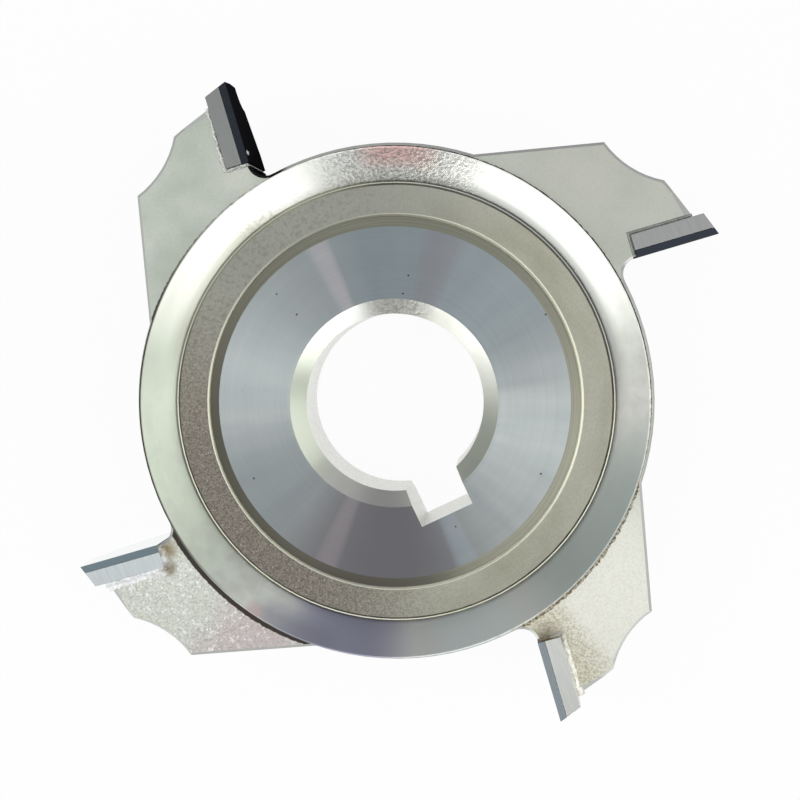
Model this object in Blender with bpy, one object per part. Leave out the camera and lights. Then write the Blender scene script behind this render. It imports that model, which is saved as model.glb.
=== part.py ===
"""A four-tooth diamond trimming cutter with a keyed bore, standing on its rear face.

The body is one piece of steel: a turned blank with a dished hub, milled out to leave
four arms. Each arm has an L-shaped seat, where an insert of carbide faced with sintered
diamond is brazed in. The bore's axis is Z, the rear face is at Z = 0 and the keyway
points along -Y. Seen from the front, from +Z, the cutter turns clockwise.
"""

import math

import bmesh
import bpy
from mathutils import Matrix, Vector

MM = 0.001

# The cutter as a whole.
CUTTING_DIAMETER = 65.0 * MM
TOTAL_HEIGHT = 12.0 * MM
TOOTH_COUNT = 4
TOOTH_LEAD_ANGLE = 2.05  # degrees from the keyway's line back to a cutting point

# The bore and its keyway.
BORE_DIAMETER = 16.0 * MM
BORE_CHAMFER = 1.35 * MM
REAR_BORE_CHAMFER = 0.8 * MM
KEYWAY_WIDTH = 5.0 * MM
KEYWAY_DEPTH = 3.1 * MM

# The turned front of the hub, from the rim inwards. A drop is measured down from the rim.
RIM_FLAT = 0.12 * MM
DISH_WIDTH = 2.78 * MM
DISH_SAG = 0.05 * MM
CHANNEL_FLOOR_WIDTH = 0.1 * MM
CHANNEL_WALL_WIDTH = 0.2 * MM
CHANNEL_DROP = 2.8 * MM
BAND_WIDTH = 2.5 * MM
BAND_DROP = 2.5 * MM
BAND_FILLET = 0.35 * MM
BOSS_SLOPE_WIDTH = 0.85 * MM
BOSS_DROP = 1.75 * MM
RIM_FOOT_GROOVE = 0.16 * MM

# The rear of the hub.
REAR_FACE_SETBACK = 3.15 * MM
REAR_RELIEF = 0.5 * MM

# The arms, in plan. A setback is from the cutting circle, and an angle in degrees is behind
# the tooth's cutting point.
ARM_DROP = 1.85 * MM
RIM_LEDGE = 0.5 * MM
GULLET_DEPTH = 1.6 * MM
GULLET_RADIUS = 1.4 * MM
ARM_FOOT_ANGLE = 44.6
HEEL_SETBACK = 2.9 * MM
HEEL_ANGLE = 23.6
SCOOP_RADIUS = 8.6 * MM
LAND_REAR_SETBACK = 1.6 * MM
LAND_REAR_ANGLE = 12.0
LAND_FRONT_SETBACK = 1.35 * MM
EDGE_CHAMFER = 0.25 * MM
LAND_BEVEL_WIDTH = 0.7 * MM
LAND_BEVEL_DEPTH = 1.0 * MM
BODY_SETBACK = 1.0 * MM  # how far the body stands back from the ground profile

# The inserts and the braze that holds them.
HOOK_ANGLE = 11.2
END_RELIEF_ANGLE = 9.5
INSERT_LENGTH = 7.64 * MM
INSERT_PROUD = 0.35 * MM
INSERT_LIFT = 0.2 * MM
INSERT_THICKNESS = 2.1 * MM
DIAMOND_THICKNESS = 0.65 * MM
BOND_GAP = 0.02 * MM
SEAT_GAP = 0.3 * MM
SOLDER_CLEARANCE = 0.02 * MM
SOLDER_SETBACK = 0.15 * MM

# The ground profile of an insert: a straight cutting edge, then a hollow of the radius that
# the cutter leaves on the work, then a lead. An inset is from the cutting circle.
TOP_LEAD_LENGTH = 3.2 * MM
TOP_LEAD_INSET = 0.25 * MM
PROFILE_RADIUS = 2.0 * MM
HOLLOW_FOOT_HEIGHT = 2.5 * MM
LEAD_INSET = 6.1 * MM
LEAD_END_HEIGHT = 0.4 * MM

# How finely round shapes are divided.
TURNING_STEPS = 96
ARC_STEPS = 8
DISH_STEPS = 4
FILLET_STEPS = 3

BORE_RADIUS = BORE_DIAMETER / 2
CUTTING_RADIUS = CUTTING_DIAMETER / 2
ARM_TOP = TOTAL_HEIGHT - ARM_DROP
INSERT_TOP = ARM_TOP + INSERT_PROUD
OVERSHOOT = 1.0 * MM  # how far a cutting shape runs past the surface it cuts
CHAMFER_OVERSHOOT = 0.05 * MM  # the same, across and down, where it cuts a chamfer
LEAST_ARC_SHARE = 0.505  # an arc's least radius, as a share of what it has to span
BEVEL_CUTTER_REACH = 1.25  # how much larger than its bevel a cutter's base is
BEVEL_CUTTER_HEIGHT = 2.0 * MM


def clockwise(degrees):
    """The direction at this angle from +Y, clockwise as seen from +Z."""
    angle = math.radians(degrees)
    return Vector((math.sin(angle), math.cos(angle)))


def turned_about_z(point, degrees):
    """A point of the plan, turned clockwise about the bore's axis."""
    ahead = clockwise(degrees + 90)
    outward = clockwise(degrees)
    return ahead * point.x + outward * point.y


def arc(centre, start, end, steps=ARC_STEPS):
    """Points along the shorter arc about centre, from start to end, with both ends."""
    radius = (start - centre).length
    first = math.atan2(start.y - centre.y, start.x - centre.x)
    last = math.atan2(end.y - centre.y, end.x - centre.x)
    sweep = (last - first + math.pi) % (2 * math.pi) - math.pi
    angles = [first + sweep * i / steps for i in range(steps + 1)]
    return [centre + radius * Vector((math.cos(a), math.sin(a))) for a in angles]


def new_object(name, bm, material=None):
    bmesh.ops.recalc_face_normals(bm, faces=bm.faces)
    mesh = bpy.data.meshes.new(name)
    bm.to_mesh(mesh)
    bm.free()
    piece = bpy.data.objects.new(name, mesh)
    bpy.context.scene.collection.objects.link(piece)
    if material:
        mesh.materials.append(material)
    return piece


def new_material(name, colour, metallic, roughness):
    material = bpy.data.materials.new(name)
    material.use_nodes = True
    shader = material.node_tree.nodes["Principled BSDF"]
    shader.inputs["Base Color"].default_value = (*colour, 1.0)
    shader.inputs["Metallic"].default_value = metallic
    shader.inputs["Roughness"].default_value = roughness
    material.diffuse_color = (*colour, 1.0)
    return material


def turned(name, profile, material=None):
    """A closed profile of (radius, height) points, turned about Z."""
    bm = bmesh.new()
    corners = [bm.verts.new((point.x, 0.0, point.y)) for point in profile]
    edges = [bm.edges.new((a, b)) for a, b in zip(corners, corners[1:] + corners[:1])]
    bmesh.ops.spin(
        bm,
        geom=corners + edges,
        axis=(0.0, 0.0, 1.0),
        cent=(0.0, 0.0, 0.0),
        angle=2 * math.pi,
        steps=TURNING_STEPS,
    )
    bmesh.ops.remove_doubles(bm, verts=bm.verts, dist=1e-7)
    return new_object(name, bm, material)


def lofted(name, loops, material=None):
    """A solid through loops of 3-D points, with a flat cap on the first and the last."""
    bm = bmesh.new()
    rings = [[bm.verts.new(point) for point in loop] for loop in loops]
    for low, high in zip(rings, rings[1:]):
        for i, corner in enumerate(low):
            after = (i + 1) % len(low)
            bm.faces.new((corner, low[after], high[after], high[i]))
    bm.faces.new(rings[0])
    bm.faces.new(rings[-1])
    return new_object(name, bm, material)


def boolean(piece, operation, cutter):
    cutter.hide_render = True
    cutter.display_type = "WIRE"
    modifier = piece.modifiers.new(cutter.name, "BOOLEAN")
    modifier.operation = operation
    modifier.solver = "EXACT"
    modifier.object = cutter


def insert_point(inward, behind):
    """A point of the insert's plan on the tooth at +Y, from its cutting corner."""
    outward = clockwise(HOOK_ANGLE)
    ahead = clockwise(HOOK_ANGLE + 90)
    return Vector((0.0, CUTTING_RADIUS)) - outward * inward - ahead * behind


def insert_profile():
    """(inset from the cutting circle, height) down the cutting edge, top to bottom."""
    centre = Vector((0.0, HOLLOW_FOOT_HEIGHT))
    hollow_top = Vector((0.0, HOLLOW_FOOT_HEIGHT + PROFILE_RADIUS))
    hollow_foot = Vector((PROFILE_RADIUS, HOLLOW_FOOT_HEIGHT))
    top_lead = [Vector((TOP_LEAD_INSET, INSERT_TOP)), Vector((0.0, INSERT_TOP - TOP_LEAD_LENGTH))]
    return top_lead + arc(centre, hollow_top, hollow_foot) + [Vector((LEAD_INSET, LEAD_END_HEIGHT))]


def body_profile():
    """(radius, height) of the arms' outer side, standing back from the inserts' profile."""
    centre = Vector((CUTTING_RADIUS, HOLLOW_FOOT_HEIGHT))
    radius = PROFILE_RADIUS + BODY_SETBACK
    rise = math.sqrt(radius**2 - BODY_SETBACK**2)
    hollow_foot = centre - Vector((radius, 0.0))
    hollow_top = centre + Vector((-BODY_SETBACK, rise))
    slope = (HOLLOW_FOOT_HEIGHT - LEAD_END_HEIGHT) / (LEAD_INSET - PROFILE_RADIUS)
    run = (HOLLOW_FOOT_HEIGHT - REAR_RELIEF) / slope
    lead_end = Vector((hollow_foot.x - run, REAR_RELIEF))
    return [lead_end] + arc(centre, hollow_foot, hollow_top)


def root_radius():
    """The root circle lies the gullet's depth inside the seat's front corner."""
    return insert_point(INSERT_LENGTH + SEAT_GAP, 0.0).length - GULLET_DEPTH


def rim_radius():
    return root_radius() - RIM_LEDGE


def dish_profile(inner, outer):
    """The hollow slope of the dish, sagging below the straight line between its ends."""
    along = (outer - inner).normalized()
    sunk = Vector((along.y, -along.x)) * DISH_SAG
    shares = [i / DISH_STEPS for i in range(DISH_STEPS + 1)]
    return [inner.lerp(outer, t) + sunk * 4 * t * (1 - t) for t in shares]


def hub_front_profile():
    """(radius, height) of the turned front, from the bore out to the arms' top."""
    boss_top = TOTAL_HEIGHT - BOSS_DROP
    band_top = TOTAL_HEIGHT - BAND_DROP
    channel_floor = TOTAL_HEIGHT - CHANNEL_DROP
    rim = rim_radius()
    dish_outer = rim - RIM_FLAT
    dish_inner = dish_outer - DISH_WIDTH
    wall_foot = dish_inner - CHANNEL_FLOOR_WIDTH
    band_outer = wall_foot - CHANNEL_WALL_WIDTH
    fillet_outer = band_outer - BAND_WIDTH
    fillet_inner = fillet_outer - BAND_FILLET
    fillet_centre = Vector((fillet_outer, band_top + BAND_FILLET))
    flank_foot = Vector((fillet_inner, fillet_centre.y))
    fillet = arc(fillet_centre, flank_foot, Vector((fillet_outer, band_top)), FILLET_STEPS)
    return (
        [
            Vector((BORE_RADIUS, boss_top - BORE_CHAMFER)),
            Vector((BORE_RADIUS + BORE_CHAMFER, boss_top)),
            Vector((fillet_inner - BOSS_SLOPE_WIDTH, boss_top)),
        ]
        + fillet
        + [Vector((band_outer, band_top)), Vector((wall_foot, channel_floor))]
        + dish_profile(Vector((dish_inner, channel_floor)), Vector((dish_outer, TOTAL_HEIGHT)))
        + [
            Vector((rim, TOTAL_HEIGHT)),
            Vector((rim, ARM_TOP - RIM_FOOT_GROOVE / 2)),
            Vector((rim + RIM_FOOT_GROOVE / 2, ARM_TOP - RIM_FOOT_GROOVE / 2)),
            Vector((rim + RIM_FOOT_GROOVE, ARM_TOP)),
        ]
    )


def blank_profile():
    """(radius, height) all round the section of the blank, before the arms are milled."""
    outside = body_profile()
    rear_face = root_radius() - REAR_FACE_SETBACK
    return (
        hub_front_profile()
        + [Vector((outside[-1].x, ARM_TOP))]
        + outside[::-1]
        + [
            Vector((rear_face + REAR_RELIEF, REAR_RELIEF)),
            Vector((rear_face, 0.0)),
            Vector((BORE_RADIUS + REAR_BORE_CHAMFER, 0.0)),
            Vector((BORE_RADIUS, REAR_BORE_CHAMFER)),
        ]
    )


def land_corners():
    """The two ends of the land behind the insert: at the seat, and at the outer corner."""
    corner = insert_point(0.0, INSERT_THICKNESS + SEAT_GAP)
    outward = clockwise(HOOK_ANGLE)
    land_front = CUTTING_RADIUS - LAND_FRONT_SETBACK
    along = corner.dot(outward)
    inward = along - math.sqrt(along**2 - corner.length_squared + land_front**2)
    rear = clockwise(-LAND_REAR_ANGLE) * (CUTTING_RADIUS - LAND_REAR_SETBACK)
    return corner - outward * inward, rear


def scoop():
    """The hollow back of the arm, from its heel to its outer corner."""
    heel = clockwise(-HEEL_ANGLE) * (CUTTING_RADIUS - HEEL_SETBACK)
    corner = land_corners()[1]
    half = (corner - heel) / 2
    radius = max(SCOOP_RADIUS, (corner - heel).length * LEAST_ARC_SHARE)
    rise = math.sqrt(radius**2 - half.length_squared)
    centre = heel + half + Vector((-half.y, half.x)).normalized() * rise
    return arc(centre, heel, corner)


def gullet():
    """The round foot of the tooth, from the seat's front corner to the root circle."""
    start = insert_point(INSERT_LENGTH + SEAT_GAP, 0.0)
    reach = start.length
    root = root_radius()
    radius = max(GULLET_RADIUS, GULLET_DEPTH * LEAST_ARC_SHARE)
    apart = root + radius
    along = (reach**2 + apart**2 - radius**2) / (2 * reach)
    aside = math.sqrt(apart**2 - along**2)
    outward = start.normalized()
    centre = outward * along + Vector((outward.y, -outward.x)) * aside
    return arc(centre, start, centre.normalized() * root)


def arm_outline():
    """One tooth of the plan, clockwise: (point, whether the next edge is chamfered)."""
    root = root_radius()
    land_front = land_corners()[0]
    seat_corner = insert_point(INSERT_LENGTH + SEAT_GAP, INSERT_THICKNESS + SEAT_GAP)
    points = [(clockwise(-ARM_FOOT_ANGLE) * root, True)]
    points += [(point, True) for point in scoop()]
    points += [(land_front, False), (seat_corner, False)]
    points += [(point, True) for point in gullet()]
    root_start = points[-1][0]
    first = math.degrees(math.atan2(root_start.x, root_start.y))
    last = 360 / TOOTH_COUNT - ARM_FOOT_ANGLE
    steps = max(2, round((last - first) * TURNING_STEPS / 360))
    for i in range(1, steps):
        points.append((clockwise(first + (last - first) * i / steps) * root, True))
    return points


def tooth_angles():
    """Clockwise angles of the cutting points. One is just short of the keyway, at 180."""
    pitch = 360 / TOOTH_COUNT
    return [180 - TOOTH_LEAD_ANGLE + pitch * (i + 2) for i in range(TOOTH_COUNT)]


def inset_outline(outline, amount):
    """The outline with its chamfered edges moved inwards by amount."""
    points = [point for point, _ in outline]
    moves = [amount if chamfered else 0.0 for _, chamfered in outline]
    normals = []
    for a, b in zip(points, points[1:] + points[:1]):
        along = (b - a).normalized()
        normals.append(Vector((along.y, -along.x)))
    moved = []
    for i, point in enumerate(points):
        before, after = normals[i - 1], normals[i]
        spread = before.x * after.y - before.y * after.x
        if abs(spread) < 1e-6:
            moved.append(point + after * moves[i])
            continue
        first, second = moves[i - 1], moves[i]
        shift = Vector((first * after.y - second * before.y, second * before.x - first * after.x))
        moved.append(point + shift / spread)
    return moved


def make_milling_envelope():
    """What the mill leaves standing: the plan of the hub and the arms, with broken edges."""
    outline = []
    for angle in tooth_angles():
        outline += [(turned_about_z(point, angle), edge) for point, edge in arm_outline()]
    past = CHAMFER_OVERSHOOT
    levels = [
        (-OVERSHOOT, EDGE_CHAMFER + past),
        (REAR_RELIEF - past, EDGE_CHAMFER + past),
        (REAR_RELIEF + EDGE_CHAMFER, 0.0),
        (ARM_TOP - EDGE_CHAMFER, 0.0),
        (ARM_TOP + past, EDGE_CHAMFER + past),
        (TOTAL_HEIGHT + OVERSHOOT, EDGE_CHAMFER + past),
    ]
    loops = [[(*p, z) for p in inset_outline(outline, amount)] for z, amount in levels]
    return lofted("milling_envelope", loops)


def make_keyway_cutter():
    half = KEYWAY_WIDTH / 2
    floor = -(BORE_RADIUS + KEYWAY_DEPTH)
    plan = [(-half, floor), (half, floor), (half, 0.0), (-half, 0.0)]
    heights = (-OVERSHOOT, TOTAL_HEIGHT + OVERSHOOT)
    return lofted("keyway_cutter", [[(x, y, z) for x, y in plan] for z in heights])


def make_land_bevel_cutter(index, angle):
    """A wedge off the land's top edge, widest at the insert and nothing at the corner."""
    front, rear = land_corners()
    along = (rear - front).normalized()
    inward = Vector((-along.y, along.x))
    on_top = (front + inward * LAND_BEVEL_WIDTH).to_3d() + Vector((0, 0, ARM_TOP))
    on_wall = front.to_3d() + Vector((0, 0, ARM_TOP - LAND_BEVEL_DEPTH))
    at_corner = rear.to_3d() + Vector((0, 0, ARM_TOP))
    outward = (on_top - at_corner).cross(on_wall - at_corner).normalized()
    if outward.z < 0:
        outward.negate()
    centre = (on_top + on_wall + at_corner) / 3
    corners = (on_top, on_wall, at_corner)
    base = [centre + (point - centre) * BEVEL_CUTTER_REACH for point in corners]
    turn = Matrix.Rotation(-math.radians(angle), 4, "Z")
    lifts = (0.0, BEVEL_CUTTER_HEIGHT)
    loops = [[turn @ (point + outward * lift) for point in base] for lift in lifts]
    return lofted(f"land_bevel_cutter_{index}", loops)


def make_body(material):
    body = turned("cutter_body", blank_profile(), material)
    boolean(body, "INTERSECT", make_milling_envelope())
    boolean(body, "DIFFERENCE", make_keyway_cutter())
    for index, angle in enumerate(tooth_angles(), start=1):
        boolean(body, "DIFFERENCE", make_land_bevel_cutter(index, angle))
    return body


def make_insert_layer(name, front, back, angle, material):
    """The part of an insert that lies between two depths behind its rake face."""
    relief = math.tan(math.radians(END_RELIEF_ANGLE + HOOK_ANGLE))
    loops = []
    for behind in (front, back):
        edge = [(point.x + behind * relief, point.y) for point in insert_profile()]
        edge += [(INSERT_LENGTH, INSERT_LIFT), (INSERT_LENGTH, INSERT_TOP)]
        plan = [turned_about_z(insert_point(inward, behind), angle) for inward, _ in edge]
        loops.append([(*point, z) for point, (_, z) in zip(plan, edge)])
    return lofted(name, loops, material)


def make_profile_cutter():
    """Everything below and outside the arms' outer profile, as one turned ring."""
    inside = body_profile()
    far = CUTTING_RADIUS + OVERSHOOT
    ring = [Vector((inside[0].x, -OVERSHOOT))] + inside
    ring += [Vector((inside[-1].x, ARM_TOP + OVERSHOOT)), Vector((far, ARM_TOP + OVERSHOOT))]
    ring += [Vector((far, -OVERSHOOT))]
    return turned("profile_cutter", ring)


def make_solder_seam(name, angle, cutter, material):
    """The braze in the seat's L: behind the insert and under its inner end."""
    land_front = land_corners()[0]
    outer = (insert_point(0.0, 0.0) - land_front).dot(clockwise(HOOK_ANGLE)) + SOLDER_SETBACK
    near = SOLDER_CLEARANCE
    far = SEAT_GAP - SOLDER_CLEARANCE
    plan = [
        (outer, INSERT_THICKNESS + near),
        (outer, INSERT_THICKNESS + far),
        (INSERT_LENGTH + far, INSERT_THICKNESS + far),
        (INSERT_LENGTH + far, SOLDER_SETBACK),
        (INSERT_LENGTH + near, SOLDER_SETBACK),
        (INSERT_LENGTH + near, INSERT_THICKNESS + near),
    ]
    points = [turned_about_z(insert_point(*place), angle) for place in plan]
    heights = (REAR_RELIEF + SOLDER_SETBACK, ARM_TOP - SOLDER_CLEARANCE)
    seam = lofted(name, [[(*point, z) for point in points] for z in heights], material)
    boolean(seam, "DIFFERENCE", cutter)
    return seam


def shade(piece):
    piece.data.shade_smooth()
    piece.data.set_sharp_from_angle(angle=math.radians(25))


def main():
    for existing in list(bpy.data.objects):
        bpy.data.objects.remove(existing, do_unlink=True)
    steel = new_material("plated_tool_steel", (0.52, 0.54, 0.50), 1.0, 0.35)
    carbide = new_material("tungsten_carbide", (0.28, 0.31, 0.33), 1.0, 0.38)
    diamond = new_material("sintered_diamond", (0.03, 0.035, 0.045), 0.3, 0.22)
    solder = new_material("silver_solder", (0.72, 0.69, 0.60), 1.0, 0.3)
    pieces = [make_body(steel)]
    profile_cutter = make_profile_cutter()
    carbide_front = DIAMOND_THICKNESS + BOND_GAP
    for i, angle in enumerate(tooth_angles(), start=1):
        pieces += [
            make_insert_layer(f"diamond_facing_{i}", 0.0, DIAMOND_THICKNESS, angle, diamond),
            make_insert_layer(
                f"carbide_backing_{i}", carbide_front, INSERT_THICKNESS, angle, carbide
            ),
            make_solder_seam(f"solder_seam_{i}", angle, profile_cutter, solder),
        ]
    for piece in pieces:
        shade(piece)


main()
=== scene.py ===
"""A diamond trimming cutter lying on its rear face under soft studio light, seen from above.

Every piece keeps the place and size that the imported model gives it, in metres. The bore's
axis is Z, the dished front faces +Z and the keyway points along -Y.
"""

import math

import bmesh
import bpy
from mathutils import Matrix, Vector


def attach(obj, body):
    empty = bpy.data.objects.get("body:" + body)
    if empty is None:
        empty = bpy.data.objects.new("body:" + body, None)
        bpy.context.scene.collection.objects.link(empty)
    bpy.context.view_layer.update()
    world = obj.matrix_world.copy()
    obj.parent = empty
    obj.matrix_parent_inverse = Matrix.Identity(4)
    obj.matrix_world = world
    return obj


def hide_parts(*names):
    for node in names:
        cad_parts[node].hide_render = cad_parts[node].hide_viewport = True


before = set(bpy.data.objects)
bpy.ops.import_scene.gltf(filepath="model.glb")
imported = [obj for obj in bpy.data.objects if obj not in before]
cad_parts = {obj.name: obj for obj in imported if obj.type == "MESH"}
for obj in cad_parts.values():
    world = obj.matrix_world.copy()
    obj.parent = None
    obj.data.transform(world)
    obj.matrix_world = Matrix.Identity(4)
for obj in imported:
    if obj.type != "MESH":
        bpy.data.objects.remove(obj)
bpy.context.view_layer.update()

# The cutter body is one piece of tool steel, turned, milled out between its arms and plated:
# a polished dish, a blasted band, satin arms and a boss that keeps its facing marks. It is
# the CAD mesh itself, merged, with its sharp edges broken as by hand.

MM = 0.001
CREASE = math.radians(28)  # a sharper turn than this is a real edge
FLAT = math.radians(0.3)  # triangles that turn less than this are one face
WELD = 0.0005 * MM


def merged_copy(node, name):
    """The CAD node's mesh as a new piece, with its loose triangles joined into flat faces."""
    bm = bmesh.new()
    bm.from_mesh(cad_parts[node].data)
    bmesh.ops.remove_doubles(bm, verts=bm.verts, dist=WELD)
    bmesh.ops.dissolve_limit(bm, angle_limit=FLAT, verts=bm.verts, edges=bm.edges)
    mesh = bpy.data.meshes.new(name)
    bm.to_mesh(mesh)
    bm.free()
    mesh.shade_smooth()
    mesh.set_sharp_from_angle(angle=CREASE)
    mesh.materials.clear()
    piece = bpy.data.objects.new(name, mesh)
    bpy.context.scene.collection.objects.link(piece)
    return piece


body = merged_copy("cutter_body", "plated_body")


def linear(code):
    """An sRGB hex colour as Blender's linear red, green, blue and alpha."""
    values = [int(code[i : i + 2], 16) / 255 for i in (1, 3, 5)]
    return [v / 12.92 if v <= 0.04045 else ((v + 0.055) / 1.055) ** 2.4 for v in values] + [1.0]


def add(tree, kind, *values, **named):
    """Adds a node, fills its inputs and gives its first output in use.

    Plain values fill the inputs in use, in order. A name in small letters is a setting of the
    node, and any other is an input. An output is linked, and text is a hex colour.
    """
    node = tree.nodes.new(kind)
    for name, value in named.items():
        if name.islower():
            setattr(node, name, value)
    in_use = [socket for socket in node.inputs if socket.enabled]
    filled = list(zip(in_use, values))
    for name, value in named.items():
        if not name.islower():
            filled.append((node.inputs[name.replace("_", " ")], value))
    for socket, value in filled:
        if isinstance(value, bpy.types.NodeSocket):
            tree.links.new(value, socket)
        else:
            socket.default_value = linear(value) if isinstance(value, str) else value
    return next((socket for socket in node.outputs if socket.enabled), None)


def start_material(name):
    """An empty material, its node tree and the piece's own coordinates."""
    material = bpy.data.materials.new(name)
    material.use_nodes = True
    material.node_tree.nodes.clear()
    place = add(material.node_tree, "ShaderNodeTexCoord").node.outputs["Object"]
    return material, material.node_tree, place


def surfaced(tree, **looks):
    """Ends a material's tree with its surface: bare metal, unless the looks say otherwise."""
    shader = add(tree, "ShaderNodeBsdfPrincipled", **{"Metallic": 1.0, **looks})
    add(tree, "ShaderNodeOutputMaterial", shader)


def painted(tree, pattern, stops, *coats):
    """A colour that follows a pattern from stop to stop, under coats of other colours.

    A coat is its colour, and before it the masks whose product is the coat's strength.
    """
    colour = add(tree, "ShaderNodeValToRGB", pattern)
    elements = colour.node.color_ramp.elements
    while len(elements) < len(stops):
        elements.new(0.5)
    for element, (spot, code) in zip(elements, stops):
        element.position = spot
        element.color = linear(code)
    for strength, *masks, coat in coats:
        for mask in masks:
            strength = add(tree, "ShaderNodeMath", strength, mask, operation="MULTIPLY")
        colour = add(tree, "ShaderNodeMix", strength, colour, coat, data_type="RGBA")
    return colour


PICTURE_UP = 25.6  # degrees: the picture's up, clockwise from +Y as seen from the front


def sector(tree, place, side, spread):
    """1 at this side of the cutter, fading out over spread degrees.

    Sides are as the picture shows them: degrees clockwise from its top.
    """
    middle = math.radians(PICTURE_UP + side)
    flat = add(tree, "ShaderNodeVectorMath", place, (1.0, 1.0, 0.0), operation="MULTIPLY")
    unit = add(tree, "ShaderNodeVectorMath", flat, operation="NORMALIZE")
    towards = (math.sin(middle), math.cos(middle), 0.0)
    cosine = add(tree, "ShaderNodeVectorMath", unit, towards, operation="DOT_PRODUCT")
    edge = math.cos(math.radians(spread))
    return add(tree, "ShaderNodeMapRange", cosine, edge, 1.0, interpolation_type="SMOOTHSTEP")


def radius_in_mm(tree, place):
    """The distance from the bore's axis, in mm."""
    flat = add(tree, "ShaderNodeVectorMath", place, (1.0, 1.0, 0.0), operation="MULTIPLY")
    length = add(tree, "ShaderNodeVectorMath", flat, operation="LENGTH")
    return add(tree, "ShaderNodeMath", length, 1 / MM, operation="MULTIPLY")


def ring_noise(tree, place, across, along):
    """Noise drawn out round the axis, in periods per mm of radius across and per radian along."""
    axes = add(tree, "ShaderNodeSeparateXYZ", place).node.outputs
    turned = add(tree, "ShaderNodeCombineXYZ", axes["Y"], axes["X"])
    around = add(tree, "ShaderNodeVectorMath", turned, operation="NORMALIZE")
    around = add(tree, "ShaderNodeVectorMath", around, along, operation="SCALE")
    height = add(tree, "ShaderNodeMath", radius_in_mm(tree, place), across, operation="MULTIPLY")
    raised = add(tree, "ShaderNodeCombineXYZ", Z=height)
    spot = add(tree, "ShaderNodeVectorMath", around, raised, operation="ADD")
    return add(tree, "ShaderNodeTexNoise", spot, Scale=1.0, Detail=3.0)


def flecks(tree, place, apart_mm, share, kept):
    """1 in small flecks this far apart: share is their size, kept how many of them stay."""
    cells = add(tree, "ShaderNodeTexVoronoi", place, Scale=1 / (apart_mm * MM)).node.outputs
    near = add(tree, "ShaderNodeMath", cells["Distance"], share, operation="LESS_THAN")
    chance = add(tree, "ShaderNodeSeparateColor", cells["Color"])
    stays = add(tree, "ShaderNodeMath", chance, kept, operation="LESS_THAN")
    return add(tree, "ShaderNodeMath", near, stays, operation="MULTIPLY")


# Faint rays of painted highlight and shade on the boss, standing in for the light that the lathe's feed
# marks catch: side and spread in degrees, strength and colour.
PAINTED_RAYS = [
    (186, 44, 1.0, "#858184"),
    (334, 5, 0.75, "#d8d0d3"),
    (326, 9, 0.3, "#c3c6c8"),
    (17, 9, 0.45, "#a0969a"),
    (203, 5, 0.55, "#b0a6a8"),
    (155, 5, 0.5, "#bcc8ce"),
    (240, 22, 0.5, "#8a9396"),
    (302, 16, 0.35, "#949da0"),
    (300, 46, 0.6, "#9fa5a5"),
    (62, 20, 0.3, "#98a2a5"),
]


def turned_steel():
    """Faced tool steel: fine rings from the lathe throw the light out in radial fans, with painted rays."""
    material, tree, place = start_material("faced_tool_steel")
    rings = ring_noise(tree, place, across=9.0, along=0.35)
    colour = painted(
        tree,
        ring_noise(tree, place, across=0.05, along=4.0),
        [(0.3, "#a2a7a7"), (0.5, "#aeb3b2"), (0.7, "#b9bcba")],
        # A bluer top, and the rays below: painted reflection and shade, by side.
        (sector(tree, place, 15, 60), 0.7, "#9fabb0"),
        *[(sector(tree, place, side, spread), strength, code) for side, spread, strength, code in PAINTED_RAYS],
        (add(tree, "ShaderNodeMapRange", rings, To_Max=0.3), "#858b8c"),
        (
            flecks(tree, place, apart_mm=1.5, share=0.065, kept=0.55),
            add(tree, "ShaderNodeMapRange", rings, To_Min=0.4, To_Max=1.3),
            "#3a3d40",
        ),
    )
    surfaced(
        tree,
        Base_Color=colour,
        Roughness=add(tree, "ShaderNodeMapRange", rings, To_Min=0.4, To_Max=0.48),
        Anisotropic=0.9,
        Anisotropic_Rotation=0.25,
        Tangent=add(tree, "ShaderNodeTangent", direction_type="RADIAL", axis="Z"),
        Normal=add(tree, "ShaderNodeBump", Height=rings, Distance=0.001 * MM),
    )
    return material


RING_MIDDLE = 11.1 * MM  # the height of the middle of the ring's outer wall


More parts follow.
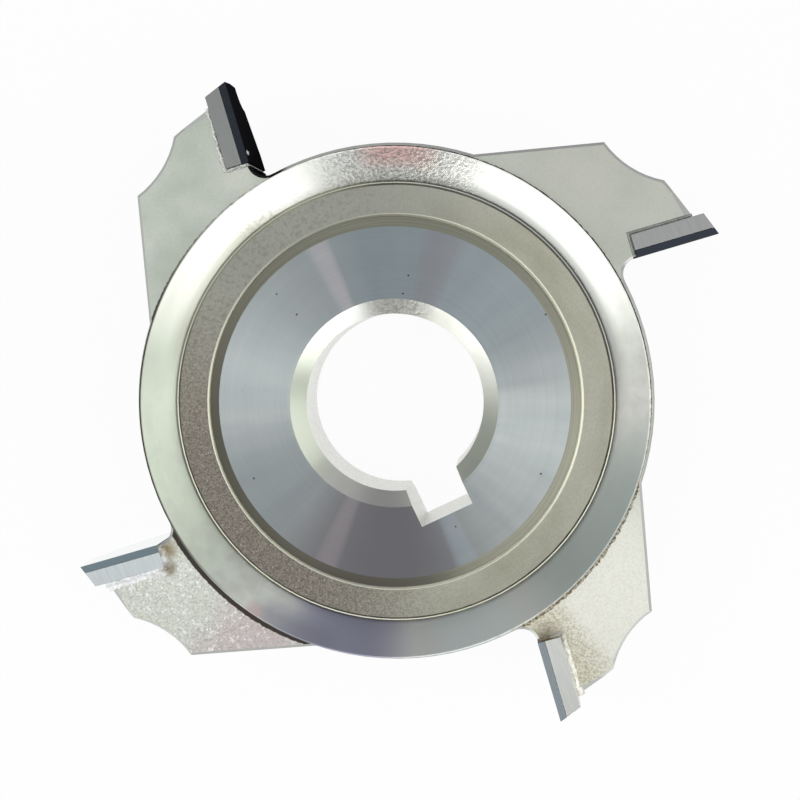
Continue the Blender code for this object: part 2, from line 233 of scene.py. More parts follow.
def plated_dish():
    """Passivated zinc plate on a polished cut: silvery, with painted reflections in faint green, rose and
    violet.
    """
    material, tree, place = start_material("polished_zinc_plate")
    radius = radius_in_mm(tree, place)
    level = add(tree, "ShaderNodeSeparateXYZ", place).node.outputs["Z"]
    foot = add(tree, "ShaderNodeMapRange", radius, 21.1, 20.3)
    outside = add(tree, "ShaderNodeMapRange", radius, 20.6, 21.8)
    outmost = add(tree, "ShaderNodeMapRange", radius, 21.5, 22.1)

    # Faint clouds on the lower left and the right.
    cloud = add(tree, "ShaderNodeTexNoise", place, Scale=1 / (1.4 * MM), Detail=5.0)
    cloud = add(tree, "ShaderNodeMapRange", cloud, 0.42, 0.66)
    left = sector(tree, place, 236, 50)
    right = sector(tree, place, 88, 34)
    cloudy = add(tree, "ShaderNodeMath", right, 0.6, left, operation="MULTIPLY_ADD")

    # A dark line on the rim's outer edge, and not on the wall below it: painted shade.
    rim = add(tree, "ShaderNodeMapRange", radius, 22.45, 22.55)
    top = add(tree, "ShaderNodeMapRange", level, 11.7 * MM, 11.8 * MM)

    # A coarse patch at the top, with a narrower streak to its left: the bump is real, their darker colour
    # painted shade.
    rough = add(tree, "ShaderNodeTexNoise", place, Scale=1 / (0.32 * MM), Detail=4.0)
    streaky = add(tree, "ShaderNodeMapRange", rough, 0.54, 0.42)
    upper = sector(tree, place, 2, 23)
    upper_left = sector(tree, place, 334, 38)
    rough_side = add(tree, "ShaderNodeMath", upper_left, 0.08, upper, operation="MULTIPLY_ADD")
    narrow_streak = sector(tree, place, 323, 8)
    shaded_streaks = add(tree, "ShaderNodeMath", narrow_streak, 0.6, rough_side, operation="MULTIPLY_ADD")

    # A brown crust at the lower right, along both edges of the ring's outer wall.
    flaky = add(tree, "ShaderNodeTexNoise", place, Scale=1 / (0.44 * MM), Detail=4.0)
    ragged = add(tree, "ShaderNodeMath", flaky, 0.6, radius, operation="MULTIPLY_ADD")
    crust = add(tree, "ShaderNodeMapRange", ragged, 22.9, 23.0)
    from_middle = add(tree, "ShaderNodeMath", level, RING_MIDDLE, operation="SUBTRACT")
    from_middle = add(tree, "ShaderNodeMath", from_middle, operation="ABSOLUTE")
    edges = add(tree, "ShaderNodeMapRange", from_middle, 0.35 * MM, 0.8 * MM)

    # Tints by side, the rim line and the streaks: painted reflection and shade. Clouds and crust are real.
    colour = painted(
        tree,
        ring_noise(tree, place, across=0.1, along=1.6),
        [(0.35, "#dfe1d8"), (0.5, "#ecece6"), (0.65, "#f0eeea")],
        (sector(tree, place, 258, 55), "#d8dfcd"),
        (cloud, cloudy, 0.5, "#c9c4c2"),
        (sector(tree, place, 120, 30), "#c2c9c5"),
        (sector(tree, place, 45, 55), foot, "#bdbfbb"),
        (sector(tree, place, 305, 29), foot, "#b9bbaa"),
        (sector(tree, place, 1, 11), outside, 0.85, "#ecbfba"),
        (sector(tree, place, 192, 18), 0.8, "#9a98b4"),
        (sector(tree, place, 160, 13), 0.8, "#eff6f3"),
        (
            sector(tree, place, 204, 13),
            add(tree, "ShaderNodeMapRange", outside, To_Min=0.1, To_Max=0.7),
            "#8f8f9c",
        ),
        (sector(tree, place, 214, 2.6), outmost, 0.35, "#e6b8b0"),
        (sector(tree, place, 249, 24), 0.5, "#b7c0ae"),
        (sector(tree, place, 303, 17), 0.8, "#c9cac0"),
        (sector(tree, place, 268, 62), rim, top, "#3d382f"),
        (streaky, shaded_streaks, 0.62, "#a29d99"),
        (
            sector(tree, place, 118, 60),
            crust,
            edges,
            painted(tree, flaky, [(0.42, "#897c66"), (0.62, "#c0b69d")]),
        ),
    )
    rings = ring_noise(tree, place, across=7.0, along=0.6)
    faint = add(tree, "ShaderNodeMath", rings, 0.04, operation="MULTIPLY")
    height = add(tree, "ShaderNodeMath", rough, rough_side, faint, operation="MULTIPLY_ADD")
    surfaced(
        tree,
        Base_Color=colour,
        Roughness=add(tree, "ShaderNodeMapRange", rings, To_Min=0.34, To_Max=0.42),
        Normal=add(tree, "ShaderNodeBump", Height=height, Distance=0.06 * MM),
    )
    return material


def cut_chamfer():
    """The bore's chamfer, turned last and thinly plated: bright, greenish on one side, as painted
    reflection.
    """
    material, tree, place = start_material("turned_bore_chamfer")
    rough = add(tree, "ShaderNodeTexNoise", place, Scale=1 / (0.28 * MM), Detail=4.0)
    rough_side = sector(tree, place, 3, 24)
    colour = painted(
        tree,
        ring_noise(tree, place, across=0.3, along=2.0),
        [(0.35, "#dcddd4"), (0.65, "#eeeeea")],
        # Green on the left, greyer right and bottom, dark top: painted reflection and shade; the bump is
        # real.
        (sector(tree, place, 262, 60), "#d2d7c7"),
        (sector(tree, place, 118, 42), "#b0b3ab"),
        (sector(tree, place, 196, 40), 0.8, "#aaa8a6"),
        (add(tree, "ShaderNodeMapRange", rough, To_Min=-0.4, To_Max=1.3), rough_side, "#9a9693"),
    )
    share = add(tree, "ShaderNodeMath", rough_side, 0.1, operation="ADD")
    height = add(tree, "ShaderNodeMath", rough, share, operation="MULTIPLY")
    bump = add(tree, "ShaderNodeBump", Height=height, Distance=0.04 * MM)
    surfaced(tree, Base_Color=colour, Roughness=0.36, Normal=bump)
    return material


def channel_wall():
    """The steep side of the channel round the band: a step painted dark as shade, seen as a thin dark line.
    """
    material, tree, place = start_material("shaded_steel_step")
    colour = painted(
        tree,
        ring_noise(tree, place, across=0.5, along=12.0),
        [(0.35, "#46443a"), (0.65, "#6f6c5a")],
        # Lighter at the upper right and the upper left: painted light.
        (sector(tree, place, 40, 55), 0.5, "#8f8e80"),
        (sector(tree, place, 318, 42), "#b9b9a6"),
    )
    surfaced(tree, Base_Color=colour, Metallic=0.5, Roughness=0.55)
    return material


def blasted_band():
    """Bead-blasted steel under thin plate: dull and olive-grey, coarse and browner on one side."""
    material, tree, place = start_material("bead_blasted_steel")
    fine = add(tree, "ShaderNodeTexNoise", place, Scale=1 / (0.16 * MM), Detail=4.0)
    coarse = add(tree, "ShaderNodeTexNoise", place, Scale=1 / (0.4 * MM), Detail=5.0)
    rough_side = sector(tree, place, 232, 78)
    pits = add(tree, "ShaderNodeMapRange", fine, 0.6, 0.38)
    pitted = add(tree, "ShaderNodeMapRange", rough_side, To_Min=0.14, To_Max=0.62)
    blotches = add(tree, "ShaderNodeMapRange", coarse, 0.5, 0.36)
    colour = painted(
        tree,
        ring_noise(tree, place, across=0.3, along=2.2),
        [(0.3, "#aaa897"), (0.5, "#b6b5a4"), (0.7, "#bebeae")],
        (sector(tree, place, 330, 70), 0.8, "#97978f"),
        (rough_side, "#978f84"),
        (pits, pitted, "#4f4a43"),
        (sector(tree, place, 312, 60), blotches, 0.35, "#6f6d63"),
        (flecks(tree, place, apart_mm=0.24, share=0.22, kept=0.3), rough_side, 0.7, "#d3ccbe"),
    )
    even = add(tree, "ShaderNodeMath", fine, 0.3, operation="MULTIPLY")
    height = add(tree, "ShaderNodeMath", coarse, rough_side, even, operation="MULTIPLY_ADD")
    surfaced(
        tree,
        Base_Color=colour,
        Metallic=0.85,
        Roughness=add(tree, "ShaderNodeMapRange", fine, To_Min=0.38, To_Max=0.56),
        Normal=add(tree, "ShaderNodeBump", Height=height, Distance=0.04 * MM),
    )
    return material


def olive_flank():
    """The boss's turned side, left dull: olive next to the bright faces, with painted shade round its left
    and bottom.
    """
    material, tree, place = start_material("dull_turned_steel")
    colour = painted(
        tree,
        ring_noise(tree, place, across=6.0, along=0.8),
        [(0.35, "#979686"), (0.65, "#a7a695")],
        (sector(tree, place, 245, 110), "#615e53"),
        (sector(tree, place, 183, 28), 0.7, "#5d594f"),
    )
    surfaced(tree, Base_Color=colour, Metallic=0.7, Roughness=0.5)
    return material


BLACK_GULLET_SIDE = 331.0  # degrees, in the picture
BLACK_GULLET_RADIUS = 23.9 * MM


def black_gullet(tree, place):
    """1 on the walls and edges of the first tooth's gullet, which are drawn black there."""
    angle = math.radians(PICTURE_UP + BLACK_GULLET_SIDE)
    black_spot = (math.sin(angle) * BLACK_GULLET_RADIUS, math.cos(angle) * BLACK_GULLET_RADIUS, 0.0)
    flat = add(tree, "ShaderNodeVectorMath", place, (1.0, 1.0, 0.0), operation="MULTIPLY")
    away = add(tree, "ShaderNodeVectorMath", flat, black_spot, operation="DISTANCE")
    return add(tree, "ShaderNodeMapRange", away, 2.1 * MM, 1.5 * MM)


def bright_line():
    """A burnished corner between two cuts: cream on the hub, grey where the arms are chamfered."""
    material, tree, place = start_material("burnished_steel")
    radius = radius_in_mm(tree, place)
    colour = painted(
        tree,
        ring_noise(tree, place, across=5.0, along=1.2),
        [(0.35, "#dedcc6"), (0.65, "#efedda")],
        # Darker at the upper left, and by the dish at the upper right: painted shade.
        (sector(tree, place, 322, 66), "#adac9e"),
        (add(tree, "ShaderNodeMapRange", radius, 22.8, 23.0), "#b0b3ae"),
        (sector(tree, place, 42, 60), add(tree, "ShaderNodeMapRange", radius, 19.0, 19.4), "#a8a7a6"),
        (black_gullet(tree, place), "#1b1a1a"),
    )
    surfaced(tree, Base_Color=colour, Roughness=0.36)
    return material


def foot_shade_and_crust(tree, place):
    """1 along the arms at the ring's foot: painted shade, widest at the lower left, and a crust at the lower
    right.
    """
    ragged = ring_noise(tree, place, across=0.0, along=60.0)
    width = add(tree, "ShaderNodeMath", ragged, 0.2, operation="MULTIPLY")
    for side, spread, wide_mm in ((226, 180, 0.36), (225, 34, 0.3), (312, 34, -0.07)):
        near = sector(tree, place, side, spread)
        width = add(tree, "ShaderNodeMath", near, wide_mm, width, operation="MULTIPLY_ADD")
    crumbs = add(tree, "ShaderNodeMath", ragged, 0.26, operation="MULTIPLY")
    lower_right = sector(tree, place, 126, 48)
    width = add(tree, "ShaderNodeMath", lower_right, crumbs, width, operation="MULTIPLY_ADD")
    past = add(tree, "ShaderNodeMath", radius_in_mm(tree, place), width, operation="SUBTRACT")
    return add(tree, "ShaderNodeMapRange", past, 22.8, 22.76)


# Where the torch browned the plate and the solder, at the inner ends of the lower inserts:
# side in degrees, radius and size in mm, and the brown.
BROWNED_SPOTS = [
    (237.0, 24.5, 1.3, "#9c8f74"),
    (233.6, 25.4, 0.9, "#6f5d3c"),
    (147.1, 25.5, 2.1, "#6f6350"),
]
ARM_TOP = 10.15 * MM


def browned(tree, place):
    """Coats of brown, in patches, on the torch's spots."""
    patches = add(tree, "ShaderNodeTexNoise", place, Scale=1 / (0.8 * MM), Detail=5.0)
    patchy = add(tree, "ShaderNodeMapRange", patches, To_Min=0.3, To_Max=1.7)
    coats = []
    for side, radius, size, brown in BROWNED_SPOTS:
        angle = math.radians(PICTURE_UP + side)
        spot = (math.sin(angle) * radius * MM, math.cos(angle) * radius * MM, ARM_TOP)
        away = add(tree, "ShaderNodeVectorMath", place, spot, operation="DISTANCE")
        heat = add(tree, "ShaderNodeMapRange", away, size * MM, 0.15 * size * MM)
        coats.append((heat, patchy, brown))
    return coats


def satin_plate():
    """Satin zinc plate on milled steel: greenish grey, mottled, grainier on the lower arms."""
    material, tree, place = start_material("satin_zinc_plate")
    fine = add(tree, "ShaderNodeTexNoise", place, Scale=1 / (0.18 * MM), Detail=4.0)
    coarse = add(tree, "ShaderNodeTexNoise", place, Scale=1 / (0.6 * MM), Detail=5.0)
    cream_arm = sector(tree, place, 140, 40)
    blasted_arm = sector(tree, place, 232, 40)
    lower = add(tree, "ShaderNodeMath", cream_arm, 0.1, operation="MULTIPLY")
    lower = add(tree, "ShaderNodeMath", blasted_arm, 0.8, lower, operation="MULTIPLY_ADD")

    # Bright grains and glints in the blasted arm's plate.
    clumps = add(tree, "ShaderNodeTexNoise", place, Scale=1 / (0.4 * MM), Detail=5.0)
    clumps = add(tree, "ShaderNodeMapRange", clumps, 0.57, 0.67)
    glints = flecks(tree, place, apart_mm=0.4, share=0.2, kept=0.4)
    bright = add(tree, "ShaderNodeMath", clumps, 0.7, glints, operation="MULTIPLY_ADD")

    dark_foot = foot_shade_and_crust(tree, place)
    colour = painted(
        tree,
        add(tree, "ShaderNodeTexNoise", place, Scale=1 / (4.4 * MM), Detail=4.0),
        [(0.3, "#aeb4a8"), (0.5, "#bbc0b5"), (0.7, "#c6c8bd")],
        (sector(tree, place, 40, 30), 0.6, "#b9b8ae"),
        (cream_arm, 0.9, "#f5f3e7"),
        (blasted_arm, 0.85, "#e4e5da"),
        (sector(tree, place, 210, 13), 0.6, "#d0bcbf"),
        (
            add(tree, "ShaderNodeMapRange", fine, 0.35, 0.65, 0.3, -0.1),
            add(tree, "ShaderNodeMath", lower, 0.4, operation="ADD"),
            "#77725f",
        ),
        (sector(tree, place, 151, 13), 0.45, "#d3cbb0"),
        (
            sector(tree, place, 146, 8),
            add(tree, "ShaderNodeMapRange", fine, To_Min=1.4, To_Max=-0.8),
            "#a59c78",
        ),
        (bright, blasted_arm, 0.9, "#ffffff"),
        *browned(tree, place),
        # Painted shade along the ring's foot, with the brown crust laid over it at the lower right.
        (dark_foot, "#33291f"),
        (
            sector(tree, place, 126, 60),
            dark_foot,
            painted(tree, fine, [(0.42, "#6f624c"), (0.58, "#c6bea8")]),
        ),
    )
    even = add(tree, "ShaderNodeMath", fine, 0.1, operation="MULTIPLY")
    coarser = add(tree, "ShaderNodeMath", lower, 0.7, operation="MULTIPLY")
    height = add(tree, "ShaderNodeMath", coarse, coarser, even, operation="MULTIPLY_ADD")
    surfaced(
        tree,
        Base_Color=colour,
        Metallic=add(tree, "ShaderNodeMapRange", dark_foot, To_Min=1.0, To_Max=0.2),
        Roughness=add(tree, "ShaderNodeMapRange", fine, To_Min=0.34, To_Max=0.48),
        Normal=add(tree, "ShaderNodeBump", Height=height, Distance=0.04 * MM),
    )
    return material


def milled_sides():
    """The arms' milled sides: the cutter's passes run down them, thinly plated and darker."""
    material, tree, place = start_material("milled_tool_steel")
    stretched = add(tree, "ShaderNodeMapping", place, Scale=(1.0, 1.0, 0.06))
    lines = add(tree, "ShaderNodeTexNoise", stretched, Scale=1 / (0.24 * MM))
    black_spot = black_gullet(tree, place)
    surfaced(
        tree,
        Base_Color=painted(tree, lines, [(0.3, "#5c5e59"), (0.7, "#6a6c67")], (black_spot, "#131212")),
        Metallic=add(tree, "ShaderNodeMapRange", black_spot, To_Min=1.0, To_Max=0.0),
        Roughness=0.42,
        Specular_IOR_Level=0.0,  # no gloss
        Normal=add(tree, "ShaderNodeBump", Height=lines, Distance=0.005 * MM),
    )
    return material


def foot_groove():
    """The narrow groove at the ring's foot: brown-black as painted shade, painted lighter at the upper left.
    """
    material, tree, place = start_material("shaded_groove_steel")
    dark_foot = add(tree, "ShaderNodeTexNoise", place, Scale=1 / (0.8 * MM), Detail=3.0)
    less_shade_upper_left = (sector(tree, place, 314, 32), "#8d7f70")
    colour = painted(tree, dark_foot, [(0.35, "#2a241e"), (0.65, "#5c5347")], less_shade_upper_left)
    surfaced(tree, Base_Color=colour, Metallic=0.4, Roughness=0.6)
    return material


def honed_bore():
    """The honed bore and the broached keyway, unplated: bright, with fine crossing scratches."""
    material, tree, place = start_material("honed_steel")
    scratches = add(tree, "ShaderNodeTexNoise", place, Scale=1 / (0.3 * MM), Detail=5.0)
    colour = painted(tree, scratches, [(0.35, "#e4e4de"), (0.65, "#f6f6f2")])
    bump = add(tree, "ShaderNodeBump", Height=scratches, Distance=0.004 * MM)
    surfaced(tree, Base_Color=colour, Metallic=0.6, Roughness=0.34, Normal=bump)
    return material


def ground_rear():
    """The rear face, ground flat to seat on the spindle's collar: even, with fine arcs."""
    material, tree, place = start_material("surface_ground_steel")
    arcs = ring_noise(tree, place, across=8.0, along=2.5)
    cloud = add(tree, "ShaderNodeTexNoise", place, Scale=1 / (6.0 * MM))
    darker = (add(tree, "ShaderNodeMapRange", arcs, To_Max=0.5), "#8e9290")
    surfaced(
        tree,
        Base_Color=painted(tree, cloud, [(0.3, "#a9ada9"), (0.7, "#bdc0bb")], darker),
        Roughness=add(tree, "ShaderNodeMapRange", arcs, To_Min=0.3, To_Max=0.44),
        Normal=add(tree, "ShaderNodeBump", Height=arcs, Distance=0.002 * MM),
    )
    return material


def break_edges(piece, width):
    """Breaks the piece's sharp edges with a narrow round, as a stone does."""
    bevel = piece.modifiers.new("broken_edges", "BEVEL")
    bevel.width = width
    bevel.segments = 2
    bevel.limit_method = "ANGLE"
    bevel.angle_limit = CREASE
    even = piece.modifiers.new("even_normals", "WEIGHTED_NORMAL")
    even.keep_sharp = True


BORE_CHAMFER_RADIUS = 9.35 * MM
KEYWAY_DEPTH = 3.0 * MM
BOSS_RADIUS = 15.8 * MM
FLANK_RADIUS = 16.65 * MM
BAND_INNER_RADIUS = 17.0 * MM
BAND_OUTER_RADIUS = 19.5 * MM
CHANNEL_RADIUS = 19.68 * MM
DISH_INNER_RADIUS = 19.8 * MM
RIM_RADIUS = 22.7 * MM
GROOVE_RADIUS = 22.9 * MM
HUB_BOTTOM = 8.25 * MM  # just below the lowest cut in the hub's front
GROOVE_BOTTOM = 9.95 * MM
ARM_CHAMFER_BOTTOM = 8.8 * MM
SLACK = 0.02 * MM

finishes = [
    turned_steel(),
    plated_dish(),
    blasted_band(),
    olive_flank(),
    bright_line(),
    satin_plate(),
    milled_sides(),
    foot_groove(),
    honed_bore(),
    cut_chamfer(),
    channel_wall(),
    ground_rear(),
]
BOSS, DISH, BAND, FLANK, LINE, SATIN, SIDES, GROOVE, BORE, CHAMFER, CHANNEL, REAR = range(len(finishes))
for finish in finishes:
    body.data.materials.append(finish)
front_zones = [
    (BOSS_RADIUS, BOSS),
    (FLANK_RADIUS, FLANK),
    (BAND_INNER_RADIUS, LINE),
    (BAND_OUTER_RADIUS, BAND),
    (CHANNEL_RADIUS, CHANNEL),
    (DISH_INNER_RADIUS, LINE),
    (RIM_RADIUS, DISH),
]
for face in body.data.polygons:
    corners = [body.data.vertices[i].co for i in face.vertices]
    outermost = max(corner.xy.length for corner in corners) - SLACK
    lowest = min(corner.z for corner in corners)
    highest = max(corner.z for corner in corners) - SLACK
    rise = face.normal.z
    steep = abs(rise) < 0.5
    if rise < -0.3:
        face.material_index = REAR
    elif steep and outermost < BORE_CHAMFER_RADIUS + KEYWAY_DEPTH:
        face.material_index = BORE
    elif outermost < BORE_CHAMFER_RADIUS:
        face.material_index = CHAMFER
    elif lowest > HUB_BOTTOM and outermost < RIM_RADIUS:
        face.material_index = next(zone for edge, zone in front_zones if outermost < edge)
    elif outermost < GROOVE_RADIUS and lowest > GROOVE_BOTTOM and highest < ARM_TOP:
        face.material_index = GROOVE
    elif 0.3 < rise < 0.97 and lowest > ARM_CHAMFER_BOTTOM:
        face.material_index = LINE
    else:
        face.material_index = SIDES if steep else SATIN
break_edges(body, 0.04 * MM)
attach(body, "root")
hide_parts("cutter_body")

# Each insert is a bar of carbide with a layer of sintered diamond on its rake face, cut
# from one blank and ground to the profile. The diamond is nearly black and polished, and
# the carbide shows its fine grinding lines.

TOOTH_LEAD_ANGLE = 2.05  # degrees, clockwise from a tooth's cutting point to an axis
HOOK_ANGLE = 11.2
# The inserts share one diamond and one carbide: the paler copies on the third and fourth are painted light.
DIAMONDS = [  # colour, roughness and metal of the ground edge, then of the rake face, and gloss
    ("#2b2e34", 0.6, 0.0, "#18181a", 0.6, 0.0, 0.0),
    ("#343841", 0.55, 0.0, "#2a2c32", 0.55, 0.0, 0.1),
    ("#98a1a4", 0.4, 0.3, "#9aa3a6", 0.4, 0.3, 0.2),
    ("#78898f", 0.3, 0.0, "#f0f4f4", 0.14, 1.0, 0.2),
]
# The near-white third and fourth carbides are painted light.
CARBIDES = ["#858682", "#9a9a97", "#dfdfd8", "#d2d8d8"]


def diamond(index):
    """Sintered diamond: black where rough, a pale mirror where polished, paler on some inserts as painted
    light.

    Its grains of 0.04 mm are too fine to show, so they are drawn twice as coarse.
    """
    edge, edge_rough, edge_metal, rake, rake_rough, rake_metal, gloss = DIAMONDS[index]
    material, tree, place = start_material(f"sintered_diamond_{index + 1}")
    grain = add(tree, "ShaderNodeTexVoronoi", place, Scale=12 / MM)
    facing = add(tree, "ShaderNodeNewGeometry").node.outputs["True Normal"]
    rise = add(tree, "ShaderNodeSeparateXYZ", facing).node.outputs["Z"]
    speckle = (rise, add(tree, "ShaderNodeMapRange", grain, To_Max=0.3), "#4a5058")
    polish = add(tree, "ShaderNodeMapRange", rise, To_Min=rake_rough, To_Max=edge_rough)
    uneven = add(tree, "ShaderNodeMapRange", grain, To_Min=-0.06, To_Max=0.06)
    surfaced(
        tree,
        Base_Color=painted(tree, rise, [(0.0, rake), (1.0, edge)], speckle),
        Metallic=add(tree, "ShaderNodeMapRange", rise, To_Min=rake_metal, To_Max=edge_metal),
        Roughness=add(tree, "ShaderNodeMath", polish, uneven, operation="ADD"),
        Specular_IOR_Level=gloss,
    )
    return material


def carbide(index):
    """Ground tungsten carbide: heavy grey, with lines along the bar from the wheel, paler as painted light
    on some inserts.
    """
    material, tree, place = start_material(f"ground_carbide_{index + 1}")
    turn = math.radians(90 * index - TOOTH_LEAD_ANGLE - HOOK_ANGLE)
    drawn_out = add(tree, "ShaderNodeMapping", place, Rotation=(0.0, 0.0, turn), Scale=(8.0, 0.6, 1.0))
    lines = add(tree, "ShaderNodeTexNoise", drawn_out, Scale=1 / MM, Detail=3.0)
    darker = add(tree, "ShaderNodeMapRange", lines, To_Max=0.35)
    surfaced(
        tree,
        Base_Color=painted(tree, darker, [(0.0, CARBIDES[index]), (1.0, "#7f8587")]),
        Roughness=add(tree, "ShaderNodeMapRange", lines, To_Min=0.3, To_Max=0.44),
    )
    return material


for i in range(4):
    for part, finish in (("diamond_facing", diamond(i)), ("carbide_backing", carbide(i))):
        piece = merged_copy(f"{part}_{i + 1}", f"ground_{part}_{i + 1}")
        piece.data.materials.append(finish)
        break_edges(piece, 0.03 * MM)
        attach(piece, "root")
        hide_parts(f"{part}_{i + 1}")

# Silver solder fills the seat behind and under each insert. It was drawn in hot and left
# as it ran: pale, lumpy and slightly proud.

CUTTING_RADIUS = 32.5 * MM
INSERT_LENGTH = 7.64 * MM
INSERT_THICKNESS = 2.1 * MM
SEAT_GAP = 0.3 * MM
BEAD_START = 2.0 * MM  # from the cutting circle, just inside the land
BEADS = [  # radius, height of its middle and unevenness, in mm, then colour and share of metal
    (0.22, -0.04, 0.5, "#dfe1da", 0.6),
    (0.13, -0.1, 0.05, "#a6aaa3", 0.6),
    (0.55, -0.4, 0.14, "#f4f1e4", 0.6),
    (0.72, -0.42, 0.45, "#ffffff", 0.3),
]


def silver_solder(index, code, metal):
    """Silver solder as it froze: white to cream, uneven, half dulled by flux."""
    material, tree, place = start_material(f"silver_solder_{index + 1}")
    lumps = add(tree, "ShaderNodeTexNoise", place, Scale=1 / (0.5 * MM), Detail=4.0)
    level = add(tree, "ShaderNodeSeparateXYZ", place).node.outputs["Z"]
    sunk = add(tree, "ShaderNodeMapRange", level, ARM_TOP, ARM_TOP - 0.4 * MM)
    coats = [*browned(tree, place), (sunk, black_gullet(tree, place), "#131212")]
    surfaced(
        tree,
        Base_Color=painted(tree, lumps, [(0.375, code), (1.0, "#9a9486")], *coats),
        Metallic=metal,
        Roughness=add(tree, "ShaderNodeMapRange", lumps, To_Min=0.2, To_Max=0.5),
        Normal=add(tree, "ShaderNodeBump", Height=lumps, Distance=0.06 * MM),
    )
    return material


def bead_tree(index, material):
    """A lumpy bead of solder along a path of edges."""
    tree = bpy.data.node_groups.new(f"solder_bead_{index + 1}", "GeometryNodeTree")
    tree.interface.new_socket("Path", in_out="INPUT", socket_type="NodeSocketGeometry")
    for name in ("Bead Radius", "Unevenness", "Lump Length", "Point Spacing"):
        tree.interface.new_socket(name, in_out="INPUT", socket_type="NodeSocketFloat")
    tree.interface.new_socket("Bead", in_out="OUTPUT", socket_type="NodeSocketGeometry")
    given = add(tree, "NodeGroupInput").node.outputs
    path = add(tree, "GeometryNodeMeshToCurve", given["Path"])
    even = add(tree, "GeometryNodeResampleCurve", Curve=path, Length=given["Point Spacing"], mode="LENGTH")
    ring = add(tree, "GeometryNodeCurvePrimitiveCircle", Resolution=10, Radius=given["Bead Radius"])
    tube = add(tree, "GeometryNodeCurveToMesh", Curve=even, Profile_Curve=ring, Fill_Caps=True)
    pitch = add(tree, "ShaderNodeMath", 1.0, given["Lump Length"], operation="DIVIDE")
    spot = add(tree, "GeometryNodeInputPosition")
    lumps = add(tree, "ShaderNodeTexNoise", spot, Scale=pitch, Detail=3.0).node.outputs["Color"]
    shift = add(tree, "ShaderNodeVectorMath", lumps, (0.5, 0.5, 0.5), operation="SUBTRACT")
    shift = add(tree, "ShaderNodeVectorMath", shift, given["Unevenness"], operation="SCALE")
    moved = add(tree, "GeometryNodeSetPosition", tube, Offset=shift)
    smooth = add(tree, "GeometryNodeSetShadeSmooth", moved)
    real = add(tree, "GeometryNodeRealizeInstances", smooth)
    add(tree, "NodeGroupOutput", add(tree, "GeometryNodeSetMaterial", real, Material=material))
    return tree


def seat_point(inward, behind, tooth, lift):
    """A point above the arms' top, from a tooth's cutting corner along and behind its insert."""
    hook = math.radians(HOOK_ANGLE)
    x = -inward * math.sin(hook) - behind * math.cos(hook)
    y = CUTTING_RADIUS - inward * math.cos(hook) + behind * math.sin(hook)
    turn = Matrix.Rotation(math.radians(TOOTH_LEAD_ANGLE - 90 * tooth), 4, "Z")
    return turn @ Vector((x, y, ARM_TOP + lift))


for i, (radius, lift, unevenness, code, metal) in enumerate(BEADS):
    solder = silver_solder(i, code, metal)
    piece = merged_copy(f"solder_seam_{i + 1}", f"run_solder_{i + 1}")
    piece.data.materials.append(solder)
    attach(piece, "root")
    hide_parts(f"solder_seam_{i + 1}")

    behind = INSERT_THICKNESS + SEAT_GAP / 2
    under = INSERT_LENGTH + SEAT_GAP / 2
    ends = [(BEAD_START, behind), (under, behind), (under, SEAT_GAP)]
    corners = [seat_point(inward, back, i, lift * MM) for inward, back in ends]
    path_mesh = bpy.data.meshes.new(f"solder_bead_{i + 1}")
    path_mesh.from_pydata(corners, [(0, 1), (1, 2)], [])
    bead = bpy.data.objects.new(f"solder_bead_{i + 1}", path_mesh)
    bpy.context.scene.collection.objects.link(bead)
    modifier = bead.modifiers.new("bead", "NODES")
    modifier.node_group = bead_tree(i, solder)
    sizes = {
        "Bead Radius": radius * MM,
        "Unevenness": unevenness * MM,
        "Lump Length": 0.5 * MM,
        "Point Spacing": 0.09 * MM,
    }
    for socket in modifier.node_group.interface.items_tree:
        if socket.name in sizes:
            modifier[socket.identifier] = sizes[socket.name]
    graph = bpy.context.evaluated_depsgraph_get()
    bead_mesh = bpy.data.meshes.new_from_object(bead.evaluated_get(graph))
    bead.modifiers.clear()
    bead.data = bead_mesh
    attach(bead, "root")

# A droplet of the same solder spat on to the first insert's rake face, near its inner end,
# and froze there, rounded and a little longer than it is wide.

DROPLET = (0.14, 0.26, 0.3)  # half its size off the face, along it and up, in mm
DROPLET_INWARD = 6.75 * MM
DROPLET_DROP = 0.55 * MM

droplet_mesh = bpy.data.meshes.new("solder_droplet")
bm = bmesh.new()
bmesh.ops.create_uvsphere(bm, u_segments=20, v_segments=12, radius=MM)
bmesh.ops.scale(bm, vec=DROPLET, verts=bm.verts)
spin = Matrix.Rotation(math.radians(TOOTH_LEAD_ANGLE - HOOK_ANGLE), 4, "Z")
bmesh.ops.transform(bm, matrix=spin, verts=bm.verts)
bmesh.ops.translate(bm, verts=bm.verts, vec=seat_point(DROPLET_INWARD, 0.0, 0, -DROPLET_DROP))
bm.to_mesh(droplet_mesh)
bm.free()
droplet_mesh.shade_smooth()
droplet_mesh.materials.append(bpy.data.materials["silver_solder_1"])
droplet = bpy.data.objects.new("solder_droplet", droplet_mesh)
bpy.context.scene.collection.objects.link(droplet)
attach(droplet, "root")

# The table is a white sweep. It is no part of the cutter, and shows white to the camera
# and to the metal, with the cutter's own soft shadow left on it.

TABLE_HALF = 3.0
WHITENESS = 0.95  # the rest is matte paper and takes the shadow

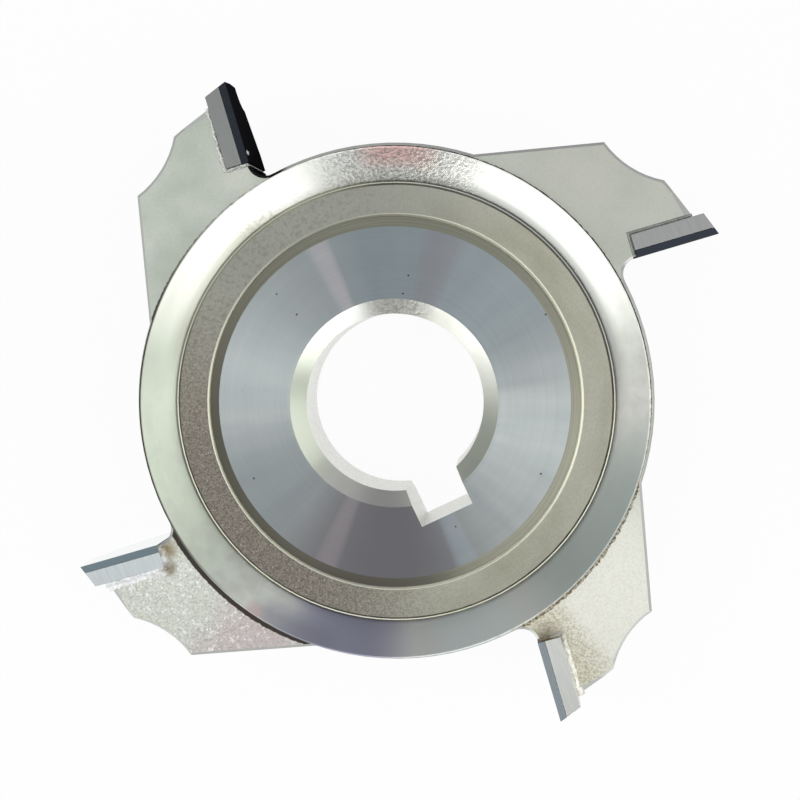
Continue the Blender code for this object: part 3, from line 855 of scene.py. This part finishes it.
table_mesh = bpy.data.meshes.new("table")
table_corners = [(-1, -1), (1, -1), (1, 1), (-1, 1)]
table_mesh.from_pydata([(x * TABLE_HALF, y * TABLE_HALF, 0.0) for x, y in table_corners], [], [(0, 1, 2, 3)])
table = bpy.data.objects.new("table", table_mesh)
bpy.context.scene.collection.objects.link(table)
paper = bpy.data.materials.new("white_paper")
paper.use_nodes = True
paper.node_tree.nodes.clear()
matte = add(paper.node_tree, "ShaderNodeBsdfDiffuse", "#f2f2f0")
glow = add(paper.node_tree, "ShaderNodeEmission", "#ffffff", 1.0)
rays = add(paper.node_tree, "ShaderNodeLightPath").node.outputs
white = add(paper.node_tree, "ShaderNodeMath", rays["Is Camera Ray"], rays["Is Glossy Ray"], operation="ADD")
white = add(paper.node_tree, "ShaderNodeMath", white, rays["Is Transmission Ray"], operation="ADD")
white = add(paper.node_tree, "ShaderNodeMath", white, WHITENESS, operation="MULTIPLY")
both = add(paper.node_tree, "ShaderNodeMixShader", white, matte, glow)
add(paper.node_tree, "ShaderNodeOutputMaterial", both)
table_mesh.materials.append(paper)

# The camera stands above the cutter, a little to the upper right of the picture, turned
# so that the keyway points to the lower right. Angles are clockwise from +Y, from above.

CAMERA_SIDE = 72.1
CAMERA_TILT = 5.1
CAMERA_DISTANCE = 146.5 * MM
LENS = 74.0  # mm
AIM_RIGHT = 0.58 * MM
AIM_UP = 0.32 * MM
AIM_HEIGHT = 10.6 * MM


def compass(degrees):
    """The level direction at this angle, clockwise from +Y."""
    angle = math.radians(degrees)
    return Vector((math.sin(angle), math.cos(angle), 0.0))


aim = compass(PICTURE_UP + 90) * AIM_RIGHT + compass(PICTURE_UP) * AIM_UP + Vector((0, 0, AIM_HEIGHT))
tilt = math.radians(CAMERA_TILT)
back = compass(CAMERA_SIDE) * math.sin(tilt) + Vector((0, 0, math.cos(tilt)))
up = compass(PICTURE_UP)
up = (up - back * up.dot(back)).normalized()
camera = bpy.data.objects.new("camera", bpy.data.cameras.new("camera"))
bpy.context.scene.collection.objects.link(camera)
camera.data.sensor_width = 36.0
camera.data.lens = LENS
camera.data.clip_start = 0.01
stand = Matrix((up.cross(back), up, back)).transposed().to_4x4()
stand.translation = aim + back * CAMERA_DISTANCE
camera.matrix_world = stand
bpy.context.scene.camera = camera

# Soft boxes stand round the table in a grey room. Two high ones, left and right, light the
# boss in fans. The low ones fill the dish, whose slope sends their light up: strongest
# below the picture and faint above it.

LAMP_DISTANCE = 0.9
SOFT_BOXES = [  # side and elevation in degrees, width and height in metres, and radiance
    ("overhead", 0, 90, 1.0, 0.45, 1.1),
    ("left_high", 284, 42, 0.45, 0.6, 1.7),
    ("right_high", 104, 42, 0.45, 0.6, 1.7),
    ("lower_left_low", 222, 12, 0.8, 0.45, 3.2),
    ("lower_right_low", 141, 12, 0.8, 0.45, 2.85),
    ("right_low", 76, 12, 0.7, 0.45, 1.2),
    ("upper_right_low", 30, 12, 0.4, 0.4, 0.6),
    ("left_low", 264, 12, 0.4, 0.4, 0.5),
]

for name, side, elevation, wide, high, radiance in SOFT_BOXES:
    light = bpy.data.lights.new(name, "AREA")
    light.shape = "RECTANGLE"
    light.size = wide
    light.size_y = high
    light.energy = radiance * math.pi * wide * high
    lamp = bpy.data.objects.new(name, light)
    bpy.context.scene.collection.objects.link(lamp)
    rise = math.radians(elevation)
    towards = compass(PICTURE_UP + side) * math.cos(rise) + Vector((0, 0, math.sin(rise)))
    level = compass(PICTURE_UP + side + 90)
    turn = Matrix((level, towards.cross(level), towards)).transposed().to_4x4()
    turn.translation = towards * LAMP_DISTANCE
    lamp.matrix_world = turn

world = bpy.data.worlds.new("studio")
bpy.context.scene.world = world
world.use_nodes = True
world.node_tree.nodes.clear()
room = add(world.node_tree, "ShaderNodeBackground", "#9a9ea2", 1.0)
add(world.node_tree, "ShaderNodeOutputWorld", room)
bpy.context.scene.view_settings.view_transform = "Standard"
